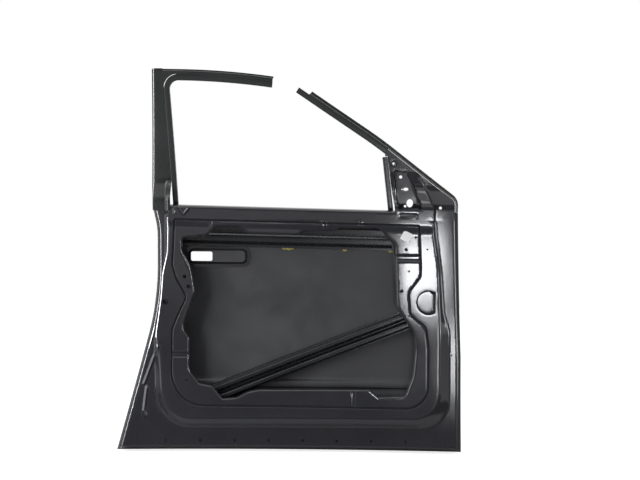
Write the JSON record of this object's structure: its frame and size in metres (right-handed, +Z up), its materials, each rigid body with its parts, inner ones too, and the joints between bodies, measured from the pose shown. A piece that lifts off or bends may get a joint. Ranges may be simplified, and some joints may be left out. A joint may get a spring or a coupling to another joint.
{
  "type": "car door shell",
  "caption": "Bare pressed steel front door shell with window frame, crash beam, handle recess and mirror mounting panel.",
  "frame": {"origin": "middle of the upper hinge face, on the outside of the front jamb wall", "axes": "+X towards the front of the car, +Z up as the door hangs, +Y out of the car through the skin"},
  "size_m": [1.097, 0.1569, 1.2006],
  "materials": {
    "black_ecoat": "gloss black electrocoat primer",
    "yellow_adhesive": "cured mastic",
    "white_label": "blank sticker"
  },
  "bodies": {
    "root": {"outer_skin": "black_ecoat", "inner_panel": "black_ecoat", "frame_upright": "black_ecoat", "frame_header": "black_ecoat", "frame_gusset": "black_ecoat", "frame_pillar": "black_ecoat", "mirror_panel": "black_ecoat", "glass_run_rear": "black_ecoat", "glass_run_front": "black_ecoat", "glass_guide_front": "black_ecoat", "belt_rail_outer": "black_ecoat", "belt_rail_inner": "black_ecoat", "side_beam": "black_ecoat", "beam_bracket_front": "black_ecoat", "beam_bracket_rear": "black_ecoat", "handle_ring": "black_ecoat", "hinge_plate_upper": "black_ecoat", "hinge_plate_lower": "black_ecoat", "hinge_upper_nut_1": "black_ecoat", "hinge_upper_nut_2": "black_ecoat", "hinge_lower_nut_1": "black_ecoat", "hinge_lower_nut_2": "black_ecoat", "check_plate": "black_ecoat", "latch_plate": "black_ecoat", "glue_dab_1": "yellow_adhesive", "glue_dab_2": "yellow_adhesive", "glue_dab_3": "yellow_adhesive", "blank_label": "white_label"}
  },
  "joints": []
}
